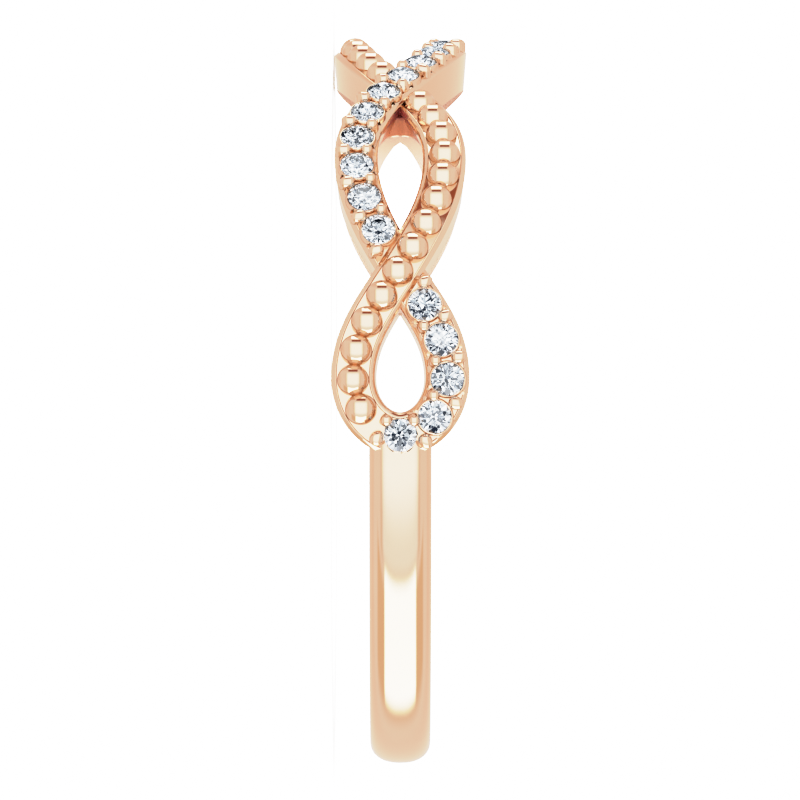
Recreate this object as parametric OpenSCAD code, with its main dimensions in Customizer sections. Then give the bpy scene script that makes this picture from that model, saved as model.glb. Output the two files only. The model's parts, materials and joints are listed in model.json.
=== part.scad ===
// Infinity ring: a plain shank that opens into two strands, which cross over and under each other
// round the top. One strand carries gold beads, the other small brilliant-cut stones.
// The finger hole runs along Z. The middle of the top loop is on +X, and angles are counted from it.
// The half towards +Y is the one that the photo shows, and the other half is its mirror image.

/* [Finger hole] */
// Diameter of the finger hole
finger_d = 17.3; // [15.5:0.1:20]

/* [Shank] */
// Width of the shank along the finger
shank_w = 1.66; // [1.4:0.02:2.2]
// Thickness of the shank from the finger hole to its crown
shank_t = 1.25; // [1.1:0.01:1.4]
// Height of the half-round crown above the shank's straight sides
crown_h = 0.62; // [0.3:0.02:0.8]
// Fullness of the crown, where 2 is an ellipse
crown_power = 2.3; // [1.8:0.1:3]

/* [Strands] */
// Width of each strand
strand_w = 1.15; // [1.05:0.01:1.25]
// Thickness of the beaded strand from the finger hole to its face
bead_strand_t = 1.07; // [0.95:0.01:1.12]
// Thickness of the stone strand from the finger hole to its face
stone_strand_t = 1.15; // [1.05:0.01:1.25]
// Width of the bevel along the edges of each face
bevel = 0.06; // [0.03:0.01:0.1]
// Height that a strand gains where it passes over the other
over_rise = 0.06; // [0.04:0.01:0.1]
// Height that a strand loses where it passes under the other
under_dip = 0.1; // [0.05:0.01:0.2]

/* [Loops] */
// Width along the finger of the top loop and the two end loops
loop_w = 3.66; // [3.5:0.02:4]
// Width along the finger of the two loops between them
mid_loop_w = 3.52; // [3.4:0.02:4]
// Angle from the top to the upper crossing
upper_cross = 27.4; // [25:0.2:29]
// Angle to the widest place of the middle loop
mid_wide = 46.9; // [45:0.2:49]
// Angle to the lower crossing
lower_cross = 68.2; // [67:0.2:70]
// Angle to the widest place of the end loop
end_wide = 85.7; // [84:0.2:87]
// Angle to the round end of the end loop, where it meets the shank
end_turn = 94.7; // [94:0.1:96]
// Slope of the strands where they cross
cross_slope = 30; // [26:1:33]

/* [Beads] */
// Diameter of the beads
bead_d = 0.79; // [0.6:0.01:0.9]
// Least gap between neighbouring beads
bead_gap = 0.012; // [0.01:0.002:0.1]
// Length of strand without beads from the upper crossing, where the stones pass over
bead_clear = 1.1; // [1.05:0.01:1.3]
// Length of strand without beads from the middle of the loop end
bead_end_clear = 1.3; // [1.2:0.01:1.5]

/* [Stones] */
// Diameter of the stones
stone_d = 0.88; // [0.7:0.01:0.92]
// Least gap between neighbouring stones
stone_gap = 0.14; // [0.1:0.01:0.25]
// Length of strand without stones from the lower crossing, where the beads pass over
stone_clear = 1.24; // [1.22:0.01:1.4]
// Height of the girdle above the face of the strand
girdle_rise = 0.1; // [0.05:0.01:0.15]
// Thickness of the girdle
girdle_t = 0.02; // [0.01:0.005:0.04]
// Width of the table as a share of the diameter
table_share = 0.57; // [0.5:0.01:0.65]
// Slope of the crown's main facets
crown_slope = 34; // [30:1:38]
// Slope of the pavilion's main facets
pavilion_slope = 41; // [39:1:43]
// Gap between a stone and its seat
seat_gap = 0.025; // [0.02:0.005:0.04]

/* [Prongs] */
// Diameter of a prong's round head
prong_d = 0.32; // [0.26:0.01:0.34]
// Height of a prong above the face of the strand
prong_h = 0.4; // [0.35:0.01:0.5]
// Distance of a prong from the middle of the strand
prong_spread = 0.29; // [0.27:0.01:0.32]
// Diameter of a prong's foot on the strand
prong_foot_d = 0.44; // [0.36:0.01:0.52]

/* [Hidden] */
GOLD = [0.92, 0.72, 0.6];
STONE = [0.86, 0.92, 0.97];

bore_r = finger_d / 2;
bead_face_r = bore_r + bead_strand_t;
stone_face_r = bore_r + stone_strand_t;
girdle_r = stone_face_r + girdle_rise;
crown_r = bore_r + shank_t;
side_r = crown_r - crown_h;
// Before the finger hole is cut, the strands and the shank reach inside its wall. Each has a depth of
// its own, so that no two of their inner walls lie on each other.
bead_root_depth = 0.3;
stone_root_depth = 0.24;
shank_root_depth = 0.15;
bead_root_r = bore_r - bead_root_depth;
stone_root_r = bore_r - stone_root_depth;
shank_root_r = bore_r - shank_root_depth;
end_swing = (loop_w - strand_w) / 2;
mid_swing = (mid_loop_w - strand_w) / 2;
shank_inset = 0.15; // distance from the turn of the loop end to the shank, under the last seat
shank_start = end_turn + arc_angle(shank_inset);
end_taper = 0.78; // width of the beaded strand where it runs into the loop end, as a share
past_end_points = 3; // sections of the stone strand beyond the turn of the loop end
path_pull = 1.08; // reach of each heading, as a share of the distance between two rows
to_turn_pull = 1.32; // the same from the end loop's widest place towards its turn
turn_pull = 1; // the same at the turn
lower_share = 0.25; // place of the lower ends of the pavilion's girdle facets, as a share of the radius
prong_foot_depth = 0.05; // depth of a prong below the face of the strand
head_step = 45; // degrees between two points of a prong head's outline
steps = 8; // sections between two rows of a strand's table
crown_steps = 12; // points on each side of the shank's crown
bead_sides = 24;
prong_sides = 8;
seat_sides = 12;
end_seat_sides = 48;
ring_sides = 180;

// Angle of a length measured round the ring at the stone strand's face.
function arc_angle(length) = length / stone_face_r * 180 / PI;

// One row for each turning point of a strand, from the top of the ring to the loop end. The columns
// are the angle, the place along the finger, the heading, the height over the face and the width.
ANGLE = 0;
PLACE = 1;
HEADING = 2;
RISE = 3;
WIDTH = 4;
function strand_rows(side, upper_rise, lower_rise, end_w) = [
    [0, side * end_swing, 0, 0, 1],
    [upper_cross, 0, -side * cross_slope, upper_rise, 1],
    [mid_wide, -side * mid_swing, 0, 0, 1],
    [lower_cross, 0, side * cross_slope, lower_rise, 1],
    [end_wide, side * end_swing, 0, 0, 1],
    [end_turn, 0, -side * 90, 0, end_w]
];

// A point of the smooth path between two rows. The path is worked out flat, as a length round the
// ring and a place along the finger, and pull says how far each heading reaches.
function flat(row) = [row[ANGLE] / arc_angle(1), row[PLACE]];
function towards(heading) = [cos(heading), sin(heading)];
function path_point(a, b, t) =
    let (
        chord = norm(flat(b) - flat(a)),
        to_turn = abs(b[HEADING]) == 90,
        pull_a = chord * (to_turn ? to_turn_pull : path_pull),
        pull_b = chord * (to_turn ? turn_pull : path_pull),
        from = towards(a[HEADING]) * pull_a,
        to = towards(b[HEADING]) * pull_b,
        place = (2 * t ^ 3 - 3 * t ^ 2 + 1) * flat(a) + (t ^ 3 - 2 * t ^ 2 + t) * from
            + (3 * t ^ 2 - 2 * t ^ 3) * flat(b) + (t ^ 3 - t ^ 2) * to,
        speed = 6 * (t ^ 2 - t) * (flat(a) - flat(b)) + (3 * t ^ 2 - 4 * t + 1) * from
            + (3 * t ^ 2 - 2 * t) * to,
        ease = 3 * t ^ 2 - 2 * t ^ 3
    )
    [
        place[0] * arc_angle(1),
        place[1],
        atan2(speed[1], speed[0]),
        a[RISE] + ease * (b[RISE] - a[RISE]),
        a[WIDTH] + ease * (b[WIDTH] - a[WIDTH])
    ];

// The near half of a strand from the top to the loop end, and then both halves.
function near_half(rows) = [
    for (i = [0 : len(rows) - 2], k = [0 : steps])
        if (i == 0 || k > 0) path_point(rows[i], rows[i + 1], k / steps)
];
function far_half(near) = [
    for (i = [len(near) - 1 : -1 : 1])
        [-near[i][ANGLE], near[i][PLACE], -near[i][HEADING], near[i][RISE], near[i][WIDTH]]
];
function both_halves(near) = concat(far_half(near), near);

bead_near = near_half(strand_rows(-1, -under_dip, over_rise, end_taper));
stone_near = near_half(strand_rows(1, over_rise, -under_dip, 1));

// The stone strand goes on round the loop end to just past the last pair of prongs.
function past_end(near) = [
    for (i = [1 : past_end_points])
        let (p = near[len(near) - 1 - i])
        [p[ANGLE], -p[PLACE], sign(p[HEADING]) * 180 - p[HEADING], p[RISE], p[WIDTH]]
];
stone_path = both_halves(concat(stone_near, past_end(stone_near)));
bead_path = both_halves(bead_near);

// Distance along a half strand from the top to each of its points.
function distances(near, i = 1, sum = [0]) =
    i == len(near)
        ? sum
        : distances(near, i + 1, concat(sum, sum[i - 1] + norm(flat(near[i]) - flat(near[i - 1]))));
function column(near, runs, which) = [for (i = [0 : len(near) - 1]) [runs[i], near[i][which]]];

// Angle and place of a spot at a distance along a strand from the top and beside its middle. A distance
// below zero lies on the far half, and one past the loop end comes back on the other side.
function spot(near, runs, distance, beside = 0) =
    let (
        end = runs[len(runs) - 1],
        past = abs(distance) > end,
        d = past ? 2 * end - abs(distance) : abs(distance),
        heading = lookup(d, column(near, runs, HEADING)),
        angle = lookup(d, column(near, runs, ANGLE)) - arc_angle(sin(heading) * beside),
        place = lookup(d, column(near, runs, PLACE)) + cos(heading) * beside
    )
    [distance < 0 ? -angle : angle, past ? -place : place, lookup(d, column(near, runs, RISE))];

bead_runs = distances(bead_near);
stone_runs = distances(stone_near);
bead_len = bead_runs[len(bead_runs) - 1];
stone_len = stone_runs[len(stone_runs) - 1];
bead_upper = bead_runs[steps];
stone_lower = stone_runs[3 * steps];

// Distances along the strand of a row that fills a stretch evenly at no less than a least pitch.
function filled(first, last, pitch) =
    let (count = floor(abs(last - first) / pitch))
    [for (i = [0 : count]) first + (last - first) * i / count];
function negated(values) = [for (v = values) -v];
function reversed(values) = [for (i = [len(values) - 1 : -1 : 0]) values[i]];

side_beads = filled(bead_len - bead_end_clear, bead_upper + bead_clear, bead_d + bead_gap);
top_beads = filled(bead_clear - bead_upper, bead_upper - bead_clear, bead_d + bead_gap);
bead_row = concat(side_beads, top_beads, negated(side_beads));

end_stones = filled(stone_len, stone_lower + stone_clear, stone_d + stone_gap);
top_stones = filled(stone_lower - stone_clear, stone_clear - stone_lower, stone_d + stone_gap);
stone_row = concat(end_stones, top_stones, reversed(negated(end_stones)));

// A pair of prongs stands halfway between two stones, and beyond the last stone of the loop end. At
// the lower crossings only the outer prong of the pair has room. Rows are the distance and the side.
function prong_pairs(row) = [
    for (i = [1 : len(row) - 1], side = [-1, 1]) [(row[i - 1] + row[i]) / 2, side]
];
end_half = (end_stones[0] - end_stones[1]) / 2;
top_half = (top_stones[0] - top_stones[1]) / 2;
end_prongs = concat(
    [for (side = [-1, 1]) [stone_len + end_half, side]],
    prong_pairs(end_stones),
    [[end_stones[len(end_stones) - 1] - end_half, 1]]
);
top_prongs = concat(
    [[top_stones[0] + top_half, -1]],
    prong_pairs(top_stones),
    [[-top_stones[0] - top_half, -1]]
);
prong_row = concat(end_prongs, top_prongs, [for (p = end_prongs) [-p[0], p[1]]]);

// Puts what is drawn along Z at a spot on a strand, standing straight out from the finger hole, with
// height counted from the axis of the hole.
module at(spot, height) {
    rotate([0, 0, spot[0]])
        translate([height + spot[2], 0, spot[1]])
            rotate([0, 90, 0])
                children();
}

// A strand: flat sections, each square to the path, with walls that point straight at the axis.
module strand(path, face_r, root_r) {
    section = [
        [-strand_w / 2, root_r, 0],
        [-strand_w / 2, face_r - bevel, 1],
        [bevel - strand_w / 2, face_r, 1],
        [strand_w / 2 - bevel, face_r, 1],
        [strand_w / 2, face_r - bevel, 1],
        [strand_w / 2, root_r, 0]
    ];
    sides = len(section);
    last = len(path) - 1;
    points = [
        for (p = path, corner = section)
            let (
                beside = corner[0] * p[WIDTH],
                radius = corner[1] + corner[2] * p[RISE],
                angle = p[ANGLE] - arc_angle(sin(p[HEADING]) * beside)
            )
            [radius * cos(angle), radius * sin(angle), p[PLACE] + cos(p[HEADING]) * beside]
    ];
    walls = [
        for (i = [0 : last - 1], k = [0 : sides - 1])
            let (next = (k + 1) % sides)
            [i * sides + k, i * sides + next, (i + 1) * sides + next, (i + 1) * sides + k]
    ];
    ends = [
        [for (k = [sides - 1 : -1 : 0]) k],
        [for (k = [0 : sides - 1]) last * sides + k]
    ];
    polyhedron(points, concat(walls, ends));
}

// The plain half-round shank, which ends inside the two loop ends.
module shank() {
    half = shank_w / 2;
    crown = [
        for (i = [-crown_steps : crown_steps])
            let (z = half * sin(90 * i / crown_steps))
            [side_r + crown_h * (1 - abs(z / half) ^ crown_power) ^ (1 / crown_power), z]
    ];
    rotate([0, 0, shank_start])
        rotate_extrude(angle = 360 - 2 * shank_start, $fn = ring_sides)
            polygon(concat(crown, [[shank_root_r, half], [shank_root_r, -half]]));
}

// A prong: a flared post with a round head.
module prong() {
    head_r = prong_d / 2;
    head = [for (a = [0 : head_step : 90]) [head_r * cos(a), prong_h - head_r + head_r * sin(a)]];
    rotate_extrude($fn = prong_sides)
        polygon(concat([[0, -prong_foot_depth], [prong_foot_d / 2, -prong_foot_depth]], head));
}

// The room that a stone needs: its pavilion and girdle with the gap round them, open at the top. Its
// flat sides touch the round form.
module seat(sides) {
    radius = (stone_d / 2 + seat_gap) / cos(180 / sides);
    rotate_extrude($fn = sides)
        polygon([[0, -radius * tan(pavilion_slope)], [radius, 0], [radius, prong_h], [0, prong_h]]);
}

// A round brilliant: its girdle lies on the XY plane and its table above it. There are eight
// main facets on the crown and the pavilion, with star and girdle facets between them.
module brilliant() {
    radius = stone_d / 2;
    table_r = radius * table_share;
    star_r = (radius + table_r) / 2;
    lower_r = radius * lower_share;
    half_step = cos(360 / 8 / 2);
    crown_top = girdle_t + (radius - table_r) * tan(crown_slope);
    star_h = girdle_t + (radius - star_r * half_step) * tan(crown_slope);
    lower_h = -(radius - lower_r * half_step) * tan(pavilion_slope);
    culet_h = -radius * tan(pavilion_slope);
    function ring(count, r, h, shift = 0) =
        [for (i = [0 : count - 1]) let (a = 360 * (i + shift) / count) [r * cos(a), r * sin(a), h]];
    TABLE = 0;
    STAR = 8;
    UPPER = 16;
    GIRDLE = 32;
    LOWER = 48;
    CULET = 56;
    points = concat(
        ring(8, table_r, crown_top),
        ring(8, star_r, star_h, 0.5),
        ring(16, radius, girdle_t),
        ring(16, radius, 0),
        ring(8, lower_r, lower_h, 0.5),
        [[0, 0, culet_h]]
    );
    facets = [
        for (i = [0 : 7])
            let (
                next = (i + 1) % 8,
                before = (i + 7) % 8,
                main = 2 * i,
                middle = 2 * i + 1,
                after = (2 * i + 2) % 16
            )
            each [
                [TABLE + next, STAR + i, TABLE + i],
                [STAR + i, UPPER + main, STAR + before, TABLE + i],
                [UPPER + middle, UPPER + main, STAR + i],
                [UPPER + after, UPPER + middle, STAR + i],
                [UPPER + middle, GIRDLE + middle, GIRDLE + main, UPPER + main],
                [UPPER + after, GIRDLE + after, GIRDLE + middle, UPPER + middle],
                [GIRDLE + middle, LOWER + i, GIRDLE + main],
                [GIRDLE + after, LOWER + i, GIRDLE + middle],
                [LOWER + i, CULET, LOWER + before, GIRDLE + main]
            ]
    ];
    polyhedron(points, concat([[for (i = [7 : -1 : 0]) TABLE + i]], facets));
}

// The seats of the stones from one number to another, counted along the row.
module seats(first, last, sides) {
    for (i = [first : last])
        at(spot(stone_near, stone_runs, stone_row[i]), girdle_r) seat(sides);
}

// Both strands with the prongs, and every seat but the two that also reach into the shank.
module ornament() {
    difference() {
        union() {
            strand(bead_path, bead_face_r, bead_root_r);
            strand(stone_path, stone_face_r, stone_root_r);
            for (p = prong_row)
                at(spot(stone_near, stone_runs, p[0], p[1] * prong_spread), stone_face_r) prong();
        }
        seats(1, len(stone_row) - 2, seat_sides);
    }
}

module beads() {
    for (s = bead_row)
        at(spot(bead_near, bead_runs, s), bead_face_r) sphere(d = bead_d, $fn = bead_sides);
}

// The whole casting. The ornament has flat faces and keeps its size, and a resize by nothing makes it
// one closed mesh. The beads, the shank and the finger hole stay truly round.
module band() {
    last = len(stone_row) - 1;
    color(GOLD)
        difference() {
            union() {
                resize([0, 0, 0]) ornament();
                beads();
                shank();
            }
            seats(0, 0, end_seat_sides);
            seats(last, last, end_seat_sides);
            translate([0, 0, -loop_w])
                cylinder(h = 2 * loop_w, r = bore_r, $fn = ring_sides);
        }
}

module stone(place) {
    color(STONE)
        at(spot(stone_near, stone_runs, place), girdle_r) brilliant();
}

band();
for (i = [1 : len(stone_row)])
    stone(stone_row[i - 1]);
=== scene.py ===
import json
import math
from collections import namedtuple

import bmesh
import bpy
from mathutils import Matrix, Vector


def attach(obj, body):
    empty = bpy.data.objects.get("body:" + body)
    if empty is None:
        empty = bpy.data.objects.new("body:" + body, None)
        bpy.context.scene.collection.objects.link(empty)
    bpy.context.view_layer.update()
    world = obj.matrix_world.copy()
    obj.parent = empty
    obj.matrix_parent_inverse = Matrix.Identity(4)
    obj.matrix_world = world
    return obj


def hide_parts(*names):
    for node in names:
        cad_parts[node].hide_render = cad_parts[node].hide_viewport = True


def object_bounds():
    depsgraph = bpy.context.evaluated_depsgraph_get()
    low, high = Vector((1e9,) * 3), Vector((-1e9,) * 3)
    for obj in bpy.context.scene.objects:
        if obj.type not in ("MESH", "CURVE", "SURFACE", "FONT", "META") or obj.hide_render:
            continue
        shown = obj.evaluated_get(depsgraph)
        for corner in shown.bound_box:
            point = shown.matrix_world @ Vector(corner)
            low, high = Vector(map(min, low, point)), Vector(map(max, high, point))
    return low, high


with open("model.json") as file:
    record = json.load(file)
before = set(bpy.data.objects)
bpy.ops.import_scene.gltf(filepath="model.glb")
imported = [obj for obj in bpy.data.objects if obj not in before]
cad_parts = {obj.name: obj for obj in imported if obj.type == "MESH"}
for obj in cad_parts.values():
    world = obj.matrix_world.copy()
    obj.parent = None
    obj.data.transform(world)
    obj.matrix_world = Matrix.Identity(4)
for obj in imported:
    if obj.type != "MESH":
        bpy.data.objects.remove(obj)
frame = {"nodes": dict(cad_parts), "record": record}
cad_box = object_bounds()

# Sizes are in millimetres until a mesh is finished, and angles in degrees. Angles round the
# ring are counted from +X, the middle of the top loop, and +Y is the side that is shown.
MM = 0.001
FINGER_R = frame["record"]["mounts"][0]["dims"]["r_mm"]
BEAD_FACE_R = FINGER_R + 1.07
STONE_FACE_R = FINGER_R + 1.15
CROWN_R = FINGER_R + 1.25
ACROSS = 90  # heading of a path that runs along the finger

# Strands and loops. Each strand is a shallow channel between two edges that slope outwards.
STRAND_W = 1.15
RIM_W = 0.12
RIM_DROP = 0.1
RIM_ROUND = 0.01
BORE_SHARE = 0.86  # the width of a strand at the finger hole, as a share of its width at the face
INNER_TAPER = 0.55  # how much more a wall that faces an opening draws in at the finger hole
INNER_REACH = 0.45  # distance from the middle of the ring at which that is in full
FAR_FADE = 1.3  # distance at which it has faded out on the far half
CHANNEL_DEPTH = 0.045
CHANNEL_SHARES = (1, 0.6, 0.3)  # points of the channel's floor, as shares of its half width
ROOT_SHARES = (0.5, 0, -0.5)  # points of a strand's underside, as shares of its half width
STONE_ROOT = 0.24  # how deep a strand goes below the finger hole's wall, until that is cut
BEAD_ROOT = 0.3
OVER_RISE = 0.06
UNDER_DIP = 0.1
END_STEP = 0.004  # how far the beaded strand stays below the other one at the loop end
LOOP_W = 3.66
MID_LOOP_W = 3.52
UPPER_CROSS = 27.4
MID_WIDE = 46.9
LOWER_CROSS = 68.2
END_WIDE = 85.7
END_TURN = 94.7
CROSS_SLOPE = 30
END_TAPER = 0.985
PATH_PULL = 1.08
TO_TURN_PULL = 1.32
TURN_PULL = 1
LOWER_ROW = 3  # the lower crossing's place among the turning points of a strand
ROW_STEPS = 8  # steps between two of those, on the path that beads and prongs are counted along
FINE = 4  # sections of the shown strands for each of those steps
PAST_END = 3  # steps by which the stone strand goes on past its loop end

# Shank
SHANK_W = 1.66
CROWN_H = 0.62
CROWN_POWER = 2.3
SHANK_INSET = 0.15
SHANK_ROOT = 0.15  # how deep it goes below the finger hole's wall, until that is cut
SHANK_EDGE_H = 0.2
SHANK_ACROSS = 24  # points on each side of its middle
SHANK_SECTIONS = 200

# The web that rounds off the top corner of the opening on the shown side. It starts and
# reaches so many degrees from the crossing, and reaches further by the drop at its two ends.
WEB_START = 1
WEB_REACH = 5.9
WEB_DROP = 1.8
WEB_HALF = 0.62
WEB_H = 0.6
WEB_STEPS = 8  # sections on each side of its middle

# Beads
BEAD_D = 0.79
BEAD_SHOWN_D = 0.85
BEAD_SINK = 0.03
BEAD_GAP = 0.012
BEAD_CLEAR = 1.1
BEAD_END_CLEAR = 1.3
BEAD_FINENESS = 4

# Stones and their seats
STONE_D = 0.88
STONE_GAP = 0.14
STONE_CLEAR = 1.24
GIRDLE_RISE = 0.1
GIRDLE_T = 0.02
TABLE_SHARE = 0.57
CROWN_SLOPE = 34
PAVILION_SLOPE = 41
SEAT_GAP = 0.014
SEAT_SIDES = 48
BRIGHT_CUT = 0.05
COLLAR = [  # how far its edge stands out from the stone's, and the height from the girdle
    (0.07, -2 * GIRDLE_RISE),
    (0.07, -GIRDLE_RISE),
    (0.06, -0.04),
    (0.045, 0),
    (0.027, GIRDLE_T),
]

# The small pits where a stone, a prong and the rim meet
PIT_R = 0.065
PIT_FLOOR_SHARE = 0.6
PIT_DEPTH = 0.12
PIT_ALONG = 0.25
PIT_BESIDE = 0.15
PIT_SIDES = 16

# Prongs and the bars between them
PRONG_D = 0.33
PRONG_H = 0.31
PRONG_SPREAD = 0.29
PRONG_ROOT = 0.03
PRONG_INTO_RIM = 0.02
PRONG_FOOT_HALF = 0.17
PRONG_FOOT_INNER = 0.15
PRONG_SQUARENESS = 1.5  # of the foot of a round prong
PRONG_FOOT_STEPS = (0, 0.2, 0.4, 0.55, 0.7, 0.85)  # as shares of the height below the head
PRONG_HEAD_ANGLES = (0, 18, 36, 54, 72, 84)
PRONG_SIDES = 24
BLOCK_REACH = 0.26  # how far an outer prong reaches outwards, to the edge of the strand
BLOCK_HALF = 0.18
BRIDGE_HALF = 0.12
BRIDGE_H = 0.015
BRIDGE_POWER = 0.7
BRIDGE_ANGLE = 20

# Finishing the casting
BORE_REACH = 1.2  # length of the cutter, as a share of the width over the loops
BORE_STEPS = 16
SLIVER = 0.0002  # points that are nearer to each other than this are joined
SHARP_ANGLE = 32

Point = namedtuple("Point", "angle place heading rise width")


def arc_angle(length):
    """Angle of a length measured round the ring at the stone strand's face."""
    return math.degrees(length / STONE_FACE_R)


def strand_rows(side, upper_rise, lower_rise, end_rise, end_width):
    """The turning points of a strand, from the top of the ring to the loop end."""
    end_swing = side * (LOOP_W - STRAND_W) / 2
    mid_swing = -side * (MID_LOOP_W - STRAND_W) / 2
    return [
        Point(0, end_swing, 0, 0, 1),
        Point(UPPER_CROSS, 0, -side * CROSS_SLOPE, upper_rise, 1),
        Point(MID_WIDE, mid_swing, 0, 0, 1),
        Point(LOWER_CROSS, 0, side * CROSS_SLOPE, lower_rise, 1),
        Point(END_WIDE, end_swing, 0, 0, 1),
        Point(END_TURN, 0, -side * ACROSS, end_rise, end_width),
    ]


def flat(point):
    """A point of the path as a length round the ring and a place along the finger."""
    return Vector((point.angle / arc_angle(1), point.place))


def towards(heading):
    """The direction of a heading, as a length round the ring and one along the finger."""
    return Vector((math.cos(math.radians(heading)), math.sin(math.radians(heading))))


def turned_back(heading):
    """The heading of the same path on the other side of the loop end."""
    return math.copysign(180, heading) - heading


def path_point(a, b, t):
    """A point of the smooth path between two rows, t from 0 to 1."""
    first, last = flat(a), flat(b)
    chord = (last - first).length
    to_turn = abs(b.heading) == ACROSS
    start = towards(a.heading) * chord * (TO_TURN_PULL if to_turn else PATH_PULL)
    end = towards(b.heading) * chord * (TURN_PULL if to_turn else PATH_PULL)
    ease = 3 * t**2 - 2 * t**3
    place = (1 - ease) * first + (t**3 - 2 * t**2 + t) * start + ease * last + (t**3 - t**2) * end
    speed = 6 * (t**2 - t) * (first - last)
    speed = speed + (3 * t**2 - 4 * t + 1) * start + (3 * t**2 - 2 * t) * end
    return Point(
        place[0] * arc_angle(1),
        place[1],
        math.degrees(math.atan2(speed[1], speed[0])),
        a.rise + ease * (b.rise - a.rise),
        a.width + ease * (b.width - a.width),
    )


def near_half(rows, steps):
    """The path through the rows, on the shown half."""
    points = [rows[0]]
    for a, b in zip(rows, rows[1:]):
        points += [path_point(a, b, k / steps) for k in range(1, steps + 1)]
    return points


def past_end(near, count):
    """The path goes on round the loop end, where it comes back on the other side."""
    back = [near[len(near) - 1 - i] for i in range(1, count + 1)]
    return [Point(p.angle, -p.place, turned_back(p.heading), p.rise, p.width) for p in back]


def both_halves(near):
    """The whole path, from the far loop end over the top to the shown one."""
    far = [Point(-p.angle, p.place, -p.heading, p.rise, p.width) for p in reversed(near[1:])]
    return far + near


class Strand:
    """A strand's path from the top to the loop end, which beads and prongs are counted along."""

    def __init__(self, rows):
        self.rows = rows
        self.near = near_half(rows, ROW_STEPS)
        self.runs = [0]
        for a, b in zip(self.near, self.near[1:]):
            self.runs.append(self.runs[-1] + (flat(b) - flat(a)).length)
        self.length = self.runs[-1]

    def spot(self, distance, beside=0):
        """The point at a distance from the top, beside the middle. The far half is below zero."""
        past = abs(distance) > self.length
        run = 2 * self.length - abs(distance) if past else abs(distance)
        last = len(self.runs) - 1
        i = next((k for k in range(1, last + 1) if run <= self.runs[k]), last)
        t = (run - self.runs[i - 1]) / (self.runs[i] - self.runs[i - 1])
        angle, place, heading, rise, width = (
            a + t * (b - a) for a, b in zip(self.near[i - 1], self.near[i])
        )
        angle -= arc_angle(math.sin(math.radians(heading)) * beside)
        place += math.cos(math.radians(heading)) * beside
        if past:
            place, heading = -place, turned_back(heading)
        if distance < 0:
            angle, heading = -angle, -heading
        return Point(angle, place, heading, rise, width)


bead_end_rise = STONE_FACE_R - BEAD_FACE_R - END_STEP
beaded = Strand(strand_rows(-1, -UNDER_DIP, OVER_RISE, bead_end_rise, END_TAPER))
stoned = Strand(strand_rows(1, OVER_RISE, -UNDER_DIP, 0, 1))
bead_upper = beaded.runs[ROW_STEPS]
stone_lower = stoned.runs[LOWER_ROW * ROW_STEPS]


def filled(first, last, pitch):
    """Distances of a row that fills a stretch evenly at no less than a least pitch."""
    count = int(abs(last - first) / pitch)
    return [first + (last - first) * i / count for i in range(count + 1)]


def halfway(row):
    """The distances halfway between those of a row."""
    return [(a + b) / 2 for a, b in zip(row, row[1:])]


bead_pitch = BEAD_D + BEAD_GAP
side_beads = filled(beaded.length - BEAD_END_CLEAR, bead_upper + BEAD_CLEAR, bead_pitch)
top_beads = filled(BEAD_CLEAR - bead_upper, bead_upper - BEAD_CLEAR, bead_pitch)
bead_row = side_beads + top_beads + [-d for d in side_beads]

stone_pitch = STONE_D + STONE_GAP
end_stones = filled(stoned.length, stone_lower + STONE_CLEAR, stone_pitch)
top_stones = filled(stone_lower - STONE_CLEAR, STONE_CLEAR - stone_lower, stone_pitch)
stone_row = end_stones + top_stones + [-d for d in reversed(end_stones)]

end_half = (end_stones[0] - end_stones[1]) / 2
top_half = (top_stones[0] - top_stones[1]) / 2
end_prongs = [(stoned.length + end_half, side) for side in (-1, 1)]
end_prongs += [(d, side) for d in halfway(end_stones) for side in (-1, 1)]
end_prongs += [(end_stones[-1] - end_half, 1)]
top_prongs = [(top_stones[0] + top_half, -1)]
top_prongs += [(d, side) for d in halfway(top_stones) for side in (-1, 1)]
top_prongs += [(-top_stones[0] - top_half, -1)]
prong_row = end_prongs + top_prongs + [(-d, side) for d, side in end_prongs]


def on_ring(angle, radius, place):
    """The point at an angle round the ring, a distance from its axis and a place along that."""
    a = math.radians(angle)
    return Vector((radius * math.cos(a), radius * math.sin(a), place))


def seat_frame(point, height):
    """A frame at a point of a strand: X along it, Y beside it, Z straight out from the hole."""
    out = on_ring(point.angle, 1, 0)
    round_ring = Vector((-out.y, out.x, 0))
    ahead = towards(point.heading)
    along = (round_ring * ahead[0] + Vector((0, 0, ahead[1]))).normalized()
    beside = out.cross(along)
    turn = Matrix((along, beside, out)).transposed().to_4x4()
    return Matrix.Translation(on_ring(point.angle, height + point.rise, point.place)) @ turn


def loft(bm, rings):
    """Joins rings of points with quads, and closes the two ends."""
    rows = [[bm.verts.new(p) for p in ring] for ring in rings]
    for low, high in zip(rows, rows[1:]):
        for k in range(len(low)):
            n = (k + 1) % len(low)
            bm.faces.new((low[k], low[n], high[n], high[k]))
    bm.faces.new(list(reversed(rows[0])))
    bm.faces.new(rows[-1])


def revolved(bm, profile, sides, place):
    """Turns a profile of (radius, height) points, which starts and ends on the axis, round it."""
    first = bm.verts.new(place @ Vector((0, 0, profile[0][1])))
    last = bm.verts.new(place @ Vector((0, 0, profile[-1][1])))
    rows = []
    for radius, height in profile[1:-1]:
        ring = []
        for k in range(sides):
            a = 2 * math.pi * k / sides
            spot = Vector((radius * math.cos(a), radius * math.sin(a), height))
            ring.append(bm.verts.new(place @ spot))
        rows.append(ring)
    for k in range(sides):
        n = (k + 1) % sides
        bm.faces.new((first, rows[0][n], rows[0][k]))
        for low, high in zip(rows, rows[1:]):
            bm.faces.new((low[k], low[n], high[n], high[k]))
        bm.faces.new((last, rows[-1][k], rows[-1][n]))


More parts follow.
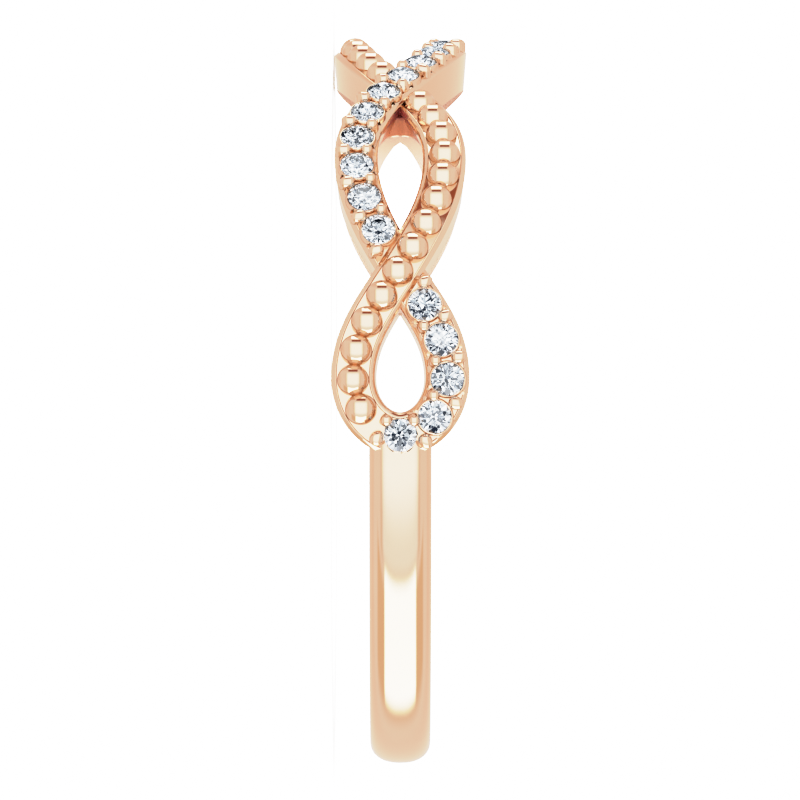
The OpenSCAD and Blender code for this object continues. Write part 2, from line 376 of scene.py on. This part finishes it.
def new_object(name, bm):
    """Makes an object of a mesh that is being built."""
    bmesh.ops.recalc_face_normals(bm, faces=bm.faces)
    mesh = bpy.data.meshes.new(name)
    bm.to_mesh(mesh)
    bm.free()
    made = bpy.data.objects.new(name, mesh)
    bpy.context.scene.collection.objects.link(made)
    return made


def boolean(base, other, operation):
    """Applies a boolean to base at once, and removes the other object."""
    modifier = base.modifiers.new(operation, "BOOLEAN")
    modifier.operation = operation
    modifier.solver = "MANIFOLD"
    modifier.object = other
    shown = base.evaluated_get(bpy.context.evaluated_depsgraph_get())
    mesh = bpy.data.meshes.new_from_object(shown)
    base.modifiers.clear()
    base.data = mesh
    bpy.data.objects.remove(other)


def strand_section(face_r, root_r):
    """The outline of a strand across its path, with a channel between two rounded rims.

    Each point has its distance from the middle, its radius from the ring's axis, and the shares
    in which it follows the path's rise and the extra taper of the walls.
    """
    half = STRAND_W / 2
    bore_half = half * BORE_SHARE
    middle_r = (FINGER_R + face_r - RIM_DROP) / 2
    top = half - RIM_W
    floor_half = top - 3 * RIM_ROUND
    right = [
        (bore_half, root_r, 0, 1),
        (bore_half, FINGER_R, 0, 1),
        ((half + bore_half) / 2, middle_r, 0, 0.5),
        (half, face_r - RIM_DROP - RIM_ROUND, 1, 0),
        (half - RIM_ROUND, face_r - RIM_DROP + RIM_ROUND / 2, 1, 0),
        (top + RIM_ROUND, face_r - RIM_ROUND / 2, 1, 0),
        (top - RIM_ROUND, face_r, 1, 0),
        (top - 2 * RIM_ROUND, face_r - RIM_ROUND, 1, 0),
    ]
    right += [(floor_half * share, face_r - CHANNEL_DEPTH, 1, 0) for share in CHANNEL_SHARES]
    section = right + [(0, face_r - CHANNEL_DEPTH, 1, 0)]
    section += [(-beside, radius, *shares) for beside, radius, *shares in reversed(right)]
    section += [(-bore_half * share, root_r, 0, 1) for share in ROOT_SHARES]
    return section


def strand_object(name, path, face_r, root_r):
    """A strand along its path, closed at both ends."""
    section = strand_section(face_r, root_r)
    rings = []
    for p in path:
        ring = []
        for beside, radius, follows, tapers in section:
            inward = min(1, max(0, -math.copysign(1, beside) * p.place / INNER_REACH))
            if p.angle < 0:
                inward *= 1 - abs(p.place) / FAR_FADE
            aside = beside * p.width * (1 - INNER_TAPER * tapers * inward)
            angle = p.angle - arc_angle(math.sin(math.radians(p.heading)) * aside)
            place = p.place + math.cos(math.radians(p.heading)) * aside
            ring.append(on_ring(angle, radius + follows * p.rise, place))
        rings.append(ring)
    bm = bmesh.new()
    loft(bm, rings)
    return new_object(name, bm)


def shank_object():
    """The plain half-round shank, which ends inside the two loop ends."""
    half = SHANK_W / 2
    side_r = CROWN_R - CROWN_H
    profile = [(FINGER_R - SHANK_ROOT, -half), (FINGER_R + SHANK_EDGE_H, -half)]
    for i in range(-SHANK_ACROSS, SHANK_ACROSS + 1):
        z = half * math.sin(math.radians(90 * i / SHANK_ACROSS))
        share = max(0, 1 - abs(z / half) ** CROWN_POWER)
        profile.append((side_r + CROWN_H * share ** (1 / CROWN_POWER), z))
    profile += [(FINGER_R + SHANK_EDGE_H, half), (FINGER_R - SHANK_ROOT, half)]
    start = END_TURN + arc_angle(SHANK_INSET)
    rings = []
    for i in range(SHANK_SECTIONS + 1):
        angle = start + (360 - 2 * start) * i / SHANK_SECTIONS
        rings.append([on_ring(angle, radius, z) for radius, z in profile])
    bm = bmesh.new()
    loft(bm, rings)
    return new_object("shank", bm)


def bead_objects():
    """The row of round beads on the beaded strand."""
    bm = bmesh.new()
    for distance in bead_row:
        place = seat_frame(beaded.spot(distance), BEAD_FACE_R - BEAD_SINK)
        bmesh.ops.create_icosphere(
            bm, subdivisions=BEAD_FINENESS, radius=BEAD_SHOWN_D / 2, matrix=place,
        )
    return new_object("beads", bm)


def prong_rings(half_length, reach, squareness):
    """Sections of a prong from its foot to its head.

    Each has its height, half length, reach inwards and outwards, and the power of its outline,
    which is 2 for a round one and more towards a square.
    """
    head_r = PRONG_D / 2
    head_h = PRONG_H - head_r
    wall = max(reach, STRAND_W / 2 - RIM_W - PRONG_SPREAD + PRONG_INTO_RIM)
    rows = []
    for t in PRONG_FOOT_STEPS:
        ease = 1 - t**2
        rows.append((
            -CHANNEL_DEPTH - PRONG_ROOT + t * (head_h + CHANNEL_DEPTH + PRONG_ROOT),
            half_length + ease * (PRONG_FOOT_HALF - half_length),
            head_r + ease * (PRONG_FOOT_INNER - head_r),
            reach + ease * (wall - reach),
            2 + squareness * ease,
        ))
    for a in PRONG_HEAD_ANGLES:
        share = math.cos(math.radians(a))
        height = head_h + head_r * math.sin(math.radians(a))
        rows.append((height, half_length * share, head_r * share, reach * share, 2))
    return rows


def prong_objects():
    """Round prongs beside the openings, and wider ones out to the outer edge of the strand."""
    bm = bmesh.new()
    for distance, side in prong_row:
        spot = stoned.spot(distance, side * PRONG_SPREAD)
        place = seat_frame(spot, STONE_FACE_R)
        outward = side if distance >= 0 else -side
        if abs(distance) > stoned.length:
            outward = -outward
        if abs(spot.place) > abs(stoned.spot(distance).place):
            rows = prong_rings(BLOCK_HALF, BLOCK_REACH, 0)
        else:
            rows = prong_rings(PRONG_D / 2, PRONG_D / 2, PRONG_SQUARENESS)
        rings = []
        for height, half, inner, outer, power in rows:
            ring = []
            for k in range(PRONG_SIDES):
                a = 2 * math.pi * k / PRONG_SIDES
                c, s = math.cos(a), math.sin(a)
                reach = outer if s * outward > 0 else inner
                u = math.copysign(abs(c) ** (2 / power), c) * half
                w = math.copysign(abs(s) ** (2 / power), s) * reach
                ring.append(place @ Vector((u, w, height)))
            rings.append(ring)
        loft(bm, rings)
    return new_object("prongs", bm)


def bridge_objects():
    """A low round bar between the two prongs of each pair."""
    end_bars = halfway(end_stones)
    bm = bmesh.new()
    for distance in end_bars + halfway(top_stones) + [-d for d in end_bars]:
        place = seat_frame(stoned.spot(distance), STONE_FACE_R)
        rings = []
        for beside in (-PRONG_SPREAD, PRONG_SPREAD):
            corners = [(side * BRIDGE_HALF, -2 * CHANNEL_DEPTH) for side in (-1, 1)]
            for a in range(0, 181, BRIDGE_ANGLE):
                share = math.sin(math.radians(a)) ** BRIDGE_POWER
                corners.append((BRIDGE_HALF * math.cos(math.radians(a)), BRIDGE_H * share))
            rings.append([place @ Vector((along, beside, height)) for along, height in corners])
        loft(bm, rings)
    return new_object("bridges", bm)


def on_stones(name, profile, distances):
    """A profile turned round the axis of each stone at these distances, from its girdle."""
    bm = bmesh.new()
    for distance in distances:
        place = seat_frame(stoned.spot(distance), STONE_FACE_R + GIRDLE_RISE)
        revolved(bm, profile, SEAT_SIDES, place)
    return new_object(name, bm)


def seat_cutters():
    """The stones' own form with a gap round it, so that the prongs reach over their edges."""
    radius = STONE_D / 2 + SEAT_GAP
    table_r = radius * TABLE_SHARE
    crown = GIRDLE_T + SEAT_GAP + (radius - table_r) * math.tan(math.radians(CROWN_SLOPE))
    pavilion = radius * math.tan(math.radians(PAVILION_SLOPE))
    profile = [
        (0, -pavilion),
        (radius, -SEAT_GAP),
        (radius, GIRDLE_T + SEAT_GAP),
        (table_r, crown),
        (0, crown),
    ]
    return on_stones("seats", profile, stone_row)


def bright_cutters():
    """A sloping cut round the first and the last stone, in place of a collar."""
    low_r = STONE_D / 2 + SEAT_GAP
    high_r = low_r + 2 * BRIGHT_CUT
    profile = [(0, -BRIGHT_CUT), (low_r, -BRIGHT_CUT), (high_r, BRIGHT_CUT), (0, BRIGHT_CUT)]
    return on_stones("bright_cuts", profile, (stone_row[0], stone_row[-1]))


def collar_objects():
    """A thin collar at the edge of each other stone, which fills the room round its seat."""
    edge = [(STONE_D / 2 + out, height) for out, height in COLLAR]
    profile = [(0, edge[0][1])] + edge + [(0, edge[-1][1])]
    return on_stones("collars", profile, stone_row[1:-1])


def pit_cutters():
    """A small dark pit on the upper side of each prong, at the rim."""
    floor_r = PIT_R * PIT_FLOOR_SHARE
    profile = [(0, -PIT_DEPTH), (floor_r, -PIT_DEPTH), (PIT_R, PRONG_H), (0, PRONG_H)]
    bm = bmesh.new()
    for distance, side in prong_row:
        if abs(distance) < stoned.length:
            upward = distance - math.copysign(PIT_ALONG, distance)
            spot = stoned.spot(upward, side * (PRONG_SPREAD + PIT_BESIDE))
            revolved(bm, profile, PIT_SIDES, seat_frame(spot, STONE_FACE_R))
    return new_object("pits", bm)


def web_object():
    """The arched web in the top corner of the opening on the shown side."""
    rings = []
    for k in range(-WEB_STEPS, WEB_STEPS + 1):
        reach = WEB_REACH + WEB_DROP * (k / WEB_STEPS) ** 2
        place = WEB_HALF * k / WEB_STEPS
        corners = [
            (WEB_START, -SHANK_ROOT),
            (reach, -SHANK_ROOT),
            (reach, WEB_H),
            (WEB_START, WEB_H),
        ]
        rings.append([on_ring(UPPER_CROSS + a, FINGER_R + h, place) for a, h in corners])
    bm = bmesh.new()
    loft(bm, rings)
    return new_object("web", bm)


def bore_cutter():
    """The finger hole."""
    places = [LOOP_W * (k / BORE_STEPS - 0.5) * BORE_REACH for k in range(BORE_STEPS + 1)]
    bm = bmesh.new()
    loft(bm, [[on_ring(a, FINGER_R, place) for a in range(360)] for place in places])
    return new_object("bore", bm)


def without_slivers(mesh):
    """Joins points that the booleans left almost in one place."""
    bm = bmesh.new()
    bm.from_mesh(mesh)
    bmesh.ops.remove_doubles(bm, verts=bm.verts, dist=SLIVER)
    bmesh.ops.dissolve_degenerate(bm, edges=bm.edges, dist=SLIVER)
    bm.to_mesh(mesh)
    bm.free()


def ring_metal():
    """The whole casting as one closed mesh."""
    stone_near = near_half(stoned.rows, ROW_STEPS * FINE)
    stone_path = both_halves(stone_near + past_end(stone_near, PAST_END * FINE))
    bead_path = both_halves(near_half(beaded.rows, ROW_STEPS * FINE))
    metal = strand_object("ring_metal", stone_path, STONE_FACE_R, FINGER_R - STONE_ROOT)
    beaded_strand = strand_object("beaded", bead_path, BEAD_FACE_R, FINGER_R - BEAD_ROOT)
    boolean(metal, beaded_strand, "UNION")
    boolean(metal, shank_object(), "UNION")
    boolean(metal, web_object(), "UNION")
    boolean(metal, bright_cutters(), "DIFFERENCE")
    boolean(metal, bridge_objects(), "UNION")
    boolean(metal, collar_objects(), "UNION")
    boolean(metal, prong_objects(), "UNION")
    boolean(metal, bead_objects(), "UNION")
    boolean(metal, pit_cutters(), "DIFFERENCE")
    boolean(metal, seat_cutters(), "DIFFERENCE")
    boolean(metal, bore_cutter(), "DIFFERENCE")
    without_slivers(metal.data)
    metal.data.transform(Matrix.Scale(MM, 4))
    for polygon in metal.data.polygons:
        polygon.use_smooth = True
    metal.data.set_sharp_from_angle(angle=math.radians(SHARP_ANGLE))
    return metal


# Places of the colour sockets of a Mix node
MIX_FIRST = 6
MIX_SECOND = 7
MIX_RESULT = 2


def node_tree(owner):
    """The emptied node tree of a material or a world."""
    owner.use_nodes = True
    owner.node_tree.nodes.clear()
    return owner.node_tree


def add_node(tree, kind, **settings):
    node = tree.nodes.new(kind)
    for name, value in settings.items():
        setattr(node, name, value)
    return node


def give(tree, socket, value):
    """Links a socket to another one, or sets it to a number or colour."""
    if isinstance(value, bpy.types.NodeSocket):
        tree.links.new(value, socket)
    else:
        socket.default_value = value


def feed(tree, node, **inputs):
    """Gives values to a node's sockets by name."""
    for name, value in inputs.items():
        give(tree, node.inputs[name.replace("_", " ")], value)
    return node


def feed_all(tree, node, *values):
    """Gives values to a node's first sockets in their order."""
    for socket, value in zip(node.inputs, values):
        give(tree, socket, value)
    return node


def maths(tree, operation, a, b=0.0):
    node = add_node(tree, "ShaderNodeMath", operation=operation)
    return feed_all(tree, node, a, b).outputs[0]


def smooth_step(tree, value, middle, soft):
    """0 below a middle value and 1 above it, with a soft edge."""
    node = add_node(tree, "ShaderNodeMapRange", interpolation_type="SMOOTHSTEP")
    feed(tree, node, Value=value, From_Min=middle - soft, From_Max=middle + soft)
    return node.outputs["Result"]


def below(tree, value, high, soft):
    """1 where value is less than high, with a soft edge."""
    return maths(tree, "SUBTRACT", 1.0, smooth_step(tree, value, high, soft))


def between(tree, value, low, high, soft):
    """1 where value lies between low and high, with soft edges."""
    above = smooth_step(tree, value, low, soft)
    return maths(tree, "MULTIPLY", above, below(tree, value, high, soft))


def toned(tree, colour, tone, share):
    """A colour, with another tone mixed in by a share."""
    mix = feed(tree, add_node(tree, "ShaderNodeMix", data_type="RGBA"), Factor=share)
    give(tree, mix.inputs[MIX_FIRST], colour)
    give(tree, mix.inputs[MIX_SECOND], tone)
    return mix.outputs[MIX_RESULT]


def noise(tree, place, scale, detail):
    node = add_node(tree, "ShaderNodeTexNoise")
    return feed(tree, node, Vector=place, Scale=scale, Detail=detail).outputs["Fac"]


def ramp(tree, value, colours):
    """Colours at places from 0 to 1 of a value, with an even change from one to the next."""
    node = feed(tree, add_node(tree, "ShaderNodeValToRGB"), Fac=value)
    stops = node.color_ramp.elements
    while len(stops) < len(colours):
        stops.new(1)
    for stop, (position, colour) in zip(stops, colours):
        stop.position = position
        stop.color = (*colour, 1)
    return node.outputs["Color"]


def shaded(tree, **inputs):
    """A Principled shader as the material's surface."""
    shader = feed(tree, add_node(tree, "ShaderNodeBsdfPrincipled"), **inputs)
    feed(tree, add_node(tree, "ShaderNodeOutputMaterial"), Surface=shader.outputs["BSDF"])


# The polished gold: its tones, and its polishing marks with their roughness and bump
GOLD_TONES = [(0.3, (0.86, 0.585, 0.405)), (0.7, (0.88, 0.61, 0.43))]
GOLD_SCALE = 400.0
GOLD_DETAIL = 3.0
MARKS_SCALE = 9000.0
MARKS_DETAIL = 2.0
MARKS_ROUGHNESS = (0.05, 0.1)
MARKS_STRENGTH = 0.02
MARKS_DISTANCE = 0.00001

# The wall of the finger hole and the narrow corners under the two crossings nearest to the
# top are less polished. Both also get painted shade in their colour: the wall a darker tone,
# and the corners a dark, less metallic brown, darkest in their outer part.
INNER_DULLNESS = 0.4  # roughness of the wall and the corners
INNER_WALL_H = 0.02
# painted shade: the wall of the finger hole gets a darker, pinker tone than the gold, standing in
# for the shade inside the ring
INNER_WALL_PAINTED_SHADE = (0.76, 0.49, 0.37, 1)
# painted shade in the corners under the top crossings: a brown, and a darker brown in their outer
# part
RECESS_PAINTED_SHADE = (0.43, 0.12, 0.045, 1)
RECESS_PAINTED_DEEP_SHADE = (0.24, 0.036, 0.028, 1)
# the corners are less metallic, so that their painted brown shade looks evenly dull
RECESS_METALLIC = 0.4
RECESS_SPAN = 9  # degrees on each side of a crossing
RECESS_HALF = 0.6  # reach from the middle of the ring
RECESS_LOW = FINGER_R + 0.04
RECESS_MIDDLE = FINGER_R + 0.55
RECESS_HIGH = BEAD_FACE_R - 0.12
RECESS_END_SOFT = 0.6
RECESS_SIDE_SOFT = 0.1
RECESS_EDGE_SOFT = 0.03
RECESS_MIDDLE_SOFT = 0.08

# The broken light and dark that is seen in the stones
SPARKLE_DETAIL = 1.0
SPARKLE_SCALE = 4.6  # of the studio
# scale of the sparkle that the gold glows with where it is seen through a stone, a painted light
PAINTED_SPARKLE_SCALE = 5000.0
ANY_DEPTH = 0.5  # light that has come through a stone has a transmission depth above this
SPARKLE = [
    (0.0, (0.01, 0.015, 0.03)),
    (0.45, (0.02, 0.03, 0.05)),
    (0.46, (0.24, 0.28, 0.35)),
    (0.488, (0.42, 0.46, 0.52)),
    (0.503, (0.8, 0.87, 0.93)),
    (0.56, (1.2, 1.3, 1.4)),
    (0.59, (2.6, 2.7, 2.8)),
]

# The clear stones
STONE_TONES = [(0, (0.96, 0.98, 1)), (1, (1, 1, 1))]
STONE_SCALE = 900.0
STONE_DETAIL = 1.0
STONE_IOR = 2.42


def ring_place(tree, place):
    """The coordinates of a point in millimetres, and its distance from the ring's axis."""
    along = feed_all(tree, add_node(tree, "ShaderNodeSeparateXYZ"), place)
    x, y, z = (maths(tree, "DIVIDE", axis, MM) for axis in along.outputs)
    squares = maths(tree, "ADD", maths(tree, "MULTIPLY", x, x), maths(tree, "MULTIPLY", y, y))
    return x, y, z, maths(tree, "SQRT", squares)


def shade_under_crossings(tree, x, y, z, radius):
    """How far a point lies in one of the corners that get painted shade, from 0 to 1, and in its
    outer part, where that painted shade is darkest.
    """
    turn = maths(tree, "DEGREES", maths(tree, "ARCTAN2", maths(tree, "ABSOLUTE", y), x))
    start, end = UPPER_CROSS - RECESS_SPAN, UPPER_CROSS + RECESS_SPAN
    near = between(tree, turn, start, end, RECESS_END_SOFT)
    central = below(tree, maths(tree, "ABSOLUTE", z), RECESS_HALF, RECESS_SIDE_SOFT)
    inside = maths(tree, "MULTIPLY", near, central)
    deep = between(tree, radius, RECESS_LOW, RECESS_HIGH, RECESS_EDGE_SOFT)
    walls = maths(tree, "MULTIPLY", inside, deep)
    outer = smooth_step(tree, radius, RECESS_MIDDLE, RECESS_MIDDLE_SOFT)
    return walls, maths(tree, "MULTIPLY", walls, outer)


def sparkle(tree, place, scale):
    """The pattern of light and dark that is seen in the stones."""
    return ramp(tree, noise(tree, place, scale, SPARKLE_DETAIL), SPARKLE)


def through_stone(tree):
    """1 where light has come through a stone."""
    path = add_node(tree, "ShaderNodeLightPath")
    return maths(tree, "GREATER_THAN", path.outputs["Transmission Depth"], ANY_DEPTH)


def rose_gold():
    """Polished rose gold, with faint polishing marks and slight changes of tone.

    Where it is seen through a stone it is black and glows with the stones' sparkle pattern, a
    painted light.
    """
    material = bpy.data.materials.new("polished_rose_gold")
    tree = node_tree(material)
    place = add_node(tree, "ShaderNodeTexCoord").outputs["Object"]
    where = ring_place(tree, place)
    inner_wall = maths(tree, "LESS_THAN", where[3], FINGER_R + INNER_WALL_H)
    # masks for the painted shade in the corners under the top crossings
    corner, corner_deep_shade = shade_under_crossings(tree, *where)
    colour = ramp(tree, noise(tree, place, GOLD_SCALE, GOLD_DETAIL), GOLD_TONES)
    # painted shade on the wall of the finger hole
    colour = toned(tree, colour, INNER_WALL_PAINTED_SHADE, inner_wall)
    # painted shade in the corners, darkest in their outer part
    colour = toned(tree, colour, RECESS_PAINTED_SHADE, corner)
    colour = toned(tree, colour, RECESS_PAINTED_DEEP_SHADE, corner_deep_shade)
    marks = noise(tree, place, MARKS_SCALE, MARKS_DETAIL)
    gloss = add_node(tree, "ShaderNodeMapRange")
    feed(tree, gloss, Value=marks, To_Min=MARKS_ROUGHNESS[0], To_Max=MARKS_ROUGHNESS[1])
    unpolished = maths(tree, "MAXIMUM", inner_wall, corner)
    dullness = maths(tree, "MULTIPLY", unpolished, INNER_DULLNESS)
    bump = add_node(tree, "ShaderNodeBump")
    feed(tree, bump, Height=marks, Strength=MARKS_STRENGTH, Distance=MARKS_DISTANCE)
    # less metallic in the corners, so that the painted shade there shows evenly
    less_metallic = maths(tree, "MULTIPLY", corner, 1 - RECESS_METALLIC)
    # painted light: seen through a stone, the gold turns black and glows with the sparkle pattern
    inside = through_stone(tree)
    shaded(
        tree,
        Base_Color=toned(tree, colour, (0, 0, 0, 1), inside),
        Metallic=maths(tree, "SUBTRACT", 1.0, less_metallic),
        Roughness=maths(tree, "MAXIMUM", gloss.outputs["Result"], dullness),
        Normal=bump.outputs["Normal"],
        Emission_Color=sparkle(tree, place, PAINTED_SPARKLE_SCALE),
        Emission_Strength=inside,
    )
    return material


def diamond():
    """Clear stone with a faint cool tone that changes from stone to stone."""
    material = bpy.data.materials.new("clear_diamond")
    tree = node_tree(material)
    place = add_node(tree, "ShaderNodeTexCoord").outputs["Object"]
    tone = ramp(tree, noise(tree, place, STONE_SCALE, STONE_DETAIL), STONE_TONES)
    shaded(tree, Base_Color=tone, Roughness=0.0, IOR=STONE_IOR, Transmission_Weight=1.0)
    return material


metal = ring_metal()
metal.data.materials.clear()
metal.data.materials.append(rose_gold())
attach(metal, "root")
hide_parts("band")

stone_material = diamond()
for name, node in frame["nodes"].items():
    if name.startswith("stone_"):
        node.data.materials.clear()
        node.data.materials.append(stone_material)

# Studio: a pale floor under the ring, which lies on its side, and soft light from all round.
# Lengths are in metres from here on, apart from the camera's.
FLOOR_R = 3.0
FLOOR_SIDES = 96
FLOOR_TONE = (0.9, 0.9, 0.9, 1)
LAMP_SPREAD = 100
LAMP_STRENGTH = 11


def pale_floor():
    """A wide floor that the metal and the stones don't mirror."""
    bm = bmesh.new()
    bmesh.ops.create_circle(bm, cap_ends=True, segments=FLOOR_SIDES, radius=FLOOR_R)
    made = new_object("floor", bm)
    made.location.z = cad_box[0].z
    material = bpy.data.materials.new("pale_floor")
    shaded(node_tree(material), Base_Color=FLOOR_TONE, Roughness=1.0, Specular_IOR_Level=0.0)
    made.data.materials.append(material)
    made.visible_glossy = False
    made.visible_transmission = False


# Softboxes, each placed by the part of a polished ball in which the camera at the photo's
# angle would see it: up from and to, sideways from and to on both sides, as shares of the
# ball's radius, the softness of the edges and the light. A later one covers those before it.
SOFTBOXES = [
    (-1.2, 1.2, 0.98, 1.3, 0.02, (0.935, 0.85, 0.75)),
    (-0.97, 0.62, 0, 0.8, 0.1, (0.93, 0.92, 0.9)),
    (-0.5, 0.42, 0, 0.46, 0.03, (0.82, 0.74, 0.62)),
    (-0.48, 0.46, 0, 0.39, 0.05, (1.0, 1.1, 1.22)),
    (-0.3, 0.4, 0, 0.36, 0.12, (1.5, 1.68, 1.8)),
    (-0.87, -0.55, 0, 0.58, 0.04, (0.8, 0.66, 0.48)),
    (-0.835, -0.5, 0, 0.32, 0.035, (2.5, 3.0, 3.2)),
    (-1.3, -0.95, 0, 1.2, 0.05, (0.94, 0.84, 0.76)),
    (0.525, 0.65, 0, 0.29, 0.025, (0.34, 0.1, 0.06)),
    (0.69, 0.86, 0, 0.31, 0.03, (2.5, 3.0, 3.2)),
]
BASE_LIGHT = (0.89, 0.74, 0.64, 1)
BACKDROP_LIGHT = 4.0
DEEP_LIGHT = 0.88  # the share of the light that is left at each further reflection in metal
SHOWN_SIDE = (0, 1, 0)  # the direction in which the camera stands at the photo's angle


def ball_place(tree, place):
    """Where a polished ball would mirror a direction of the studio: up, and to either side."""
    sum_node = add_node(tree, "ShaderNodeVectorMath", operation="ADD")
    outward = add_node(tree, "ShaderNodeVectorMath", operation="NORMALIZE")
    feed_all(tree, outward, feed_all(tree, sum_node, place, SHOWN_SIDE).outputs[0])
    split = add_node(tree, "ShaderNodeSeparateXYZ")
    ball_x, _, ball_z = feed_all(tree, split, outward.outputs[0]).outputs
    direction = feed_all(tree, add_node(tree, "ShaderNodeSeparateXYZ"), place)
    turn = maths(tree, "ARCTAN2", direction.outputs[0], direction.outputs[1])
    highest = maths(tree, "SINE", maths(tree, "MULTIPLY", turn, 0.5))
    return maths(tree, "MINIMUM", ball_x, highest), maths(tree, "ABSOLUTE", ball_z)


def softbox_light(tree, place):
    """The light of the softboxes, one over the other."""
    up, aside = ball_place(tree, place)
    light = BASE_LIGHT
    for up_from, up_to, aside_from, aside_to, soft, colour in SOFTBOXES:
        inside = maths(
            tree, "MULTIPLY",
            between(tree, up, up_from, up_to, soft),
            between(tree, aside, aside_from - 2 * soft, aside_to, soft),
        )
        light = toned(tree, light, (*colour, 1), inside)
    return light


def background(tree, colour, strength):
    node = add_node(tree, "ShaderNodeBackground")
    return feed(tree, node, Color=colour, Strength=strength).outputs[0]


def either(tree, share, first, second):
    """The first light, or the second one by a share."""
    return feed_all(tree, add_node(tree, "ShaderNodeMixShader"), share, first, second).outputs[0]


def studio_light():
    """Softboxes for the metal, broken light for the stones, and white behind the ring."""
    world = bpy.data.worlds.new("studio")
    bpy.context.scene.world = world
    tree = node_tree(world)
    place = add_node(tree, "ShaderNodeTexCoord").outputs["Generated"]
    path = add_node(tree, "ShaderNodeLightPath").outputs
    further = maths(tree, "SUBTRACT", path["Glossy Depth"], 1.0)
    dimmed = maths(tree, "POWER", DEEP_LIGHT, maths(tree, "MAXIMUM", further, 0.0))
    boxes = background(tree, softbox_light(tree, place), dimmed)
    broken = background(tree, sparkle(tree, place, SPARKLE_SCALE), 1.0)
    in_stone = maths(tree, "MAXIMUM", through_stone(tree), path["Is Singular Ray"])
    backdrop = background(tree, (1, 1, 1, 1), BACKDROP_LIGHT)
    seen = either(tree, path["Is Camera Ray"], either(tree, in_stone, boxes, broken), backdrop)
    feed(tree, add_node(tree, "ShaderNodeOutputWorld"), Surface=seen)


def floor_light():
    """A wide soft light overhead for the floor, which the polished metal doesn't mirror."""
    data = bpy.data.lights.new("overhead", "SUN")
    data.angle = math.radians(LAMP_SPREAD)
    data.energy = LAMP_STRENGTH
    lamp = bpy.data.objects.new("overhead", data)
    bpy.context.scene.collection.objects.link(lamp)
    lamp.visible_glossy = False
    lamp.visible_camera = False
    lamp.visible_transmission = False


# The display curve: straight up to a middle tone, then a soft shoulder, as in a bright
# product photo.
WHITE_LEVEL = 4.0
SHOULDER = [(0.5, 0.5), (0.78, 0.77), (1.1, 0.88), (1.6, 0.94), (2.4, 0.98)]
COMBINED = 3  # the curve for all three colours


def display_curve():
    view = bpy.context.scene.view_settings
    view.view_transform = "Standard"
    view.use_curve_mapping = True
    mapping = view.curve_mapping
    mapping.white_level = (WHITE_LEVEL, WHITE_LEVEL, WHITE_LEVEL)
    for level, shown in SHOULDER:
        mapping.curves[COMBINED].points.new(level / WHITE_LEVEL, shown)
    mapping.update()


# The camera stands beyond +Y and looks straight at the ring, with +X up and +Z to the right.
CAMERA_DISTANCE = 218
PIXELS_PER_MM = 36.2
PICTURE_WIDTH = 800
AIM_X = 0.12
AIM_Z = -0.008
SENSOR = 36
CLIP_START = 0.001
CLIP_END = 10
CAMERA_TURN = Matrix((
    (0, 1, 0, 0),
    (0, 0, 1, 0),
    (1, 0, 0, 0),
    (0, 0, 0, 1),
))


def photo_camera():
    data = bpy.data.cameras.new("camera")
    data.sensor_width = SENSOR
    data.lens = SENSOR * CAMERA_DISTANCE * PIXELS_PER_MM / PICTURE_WIDTH
    data.clip_start = CLIP_START
    data.clip_end = CLIP_END
    camera = bpy.data.objects.new("camera", data)
    stand = Vector((AIM_X, CAMERA_DISTANCE, AIM_Z)) * MM
    camera.matrix_world = Matrix.Translation(stand) @ CAMERA_TURN
    bpy.context.scene.collection.objects.link(camera)
    bpy.context.scene.camera = camera


pale_floor()
studio_light()
floor_light()
display_curve()
photo_camera()
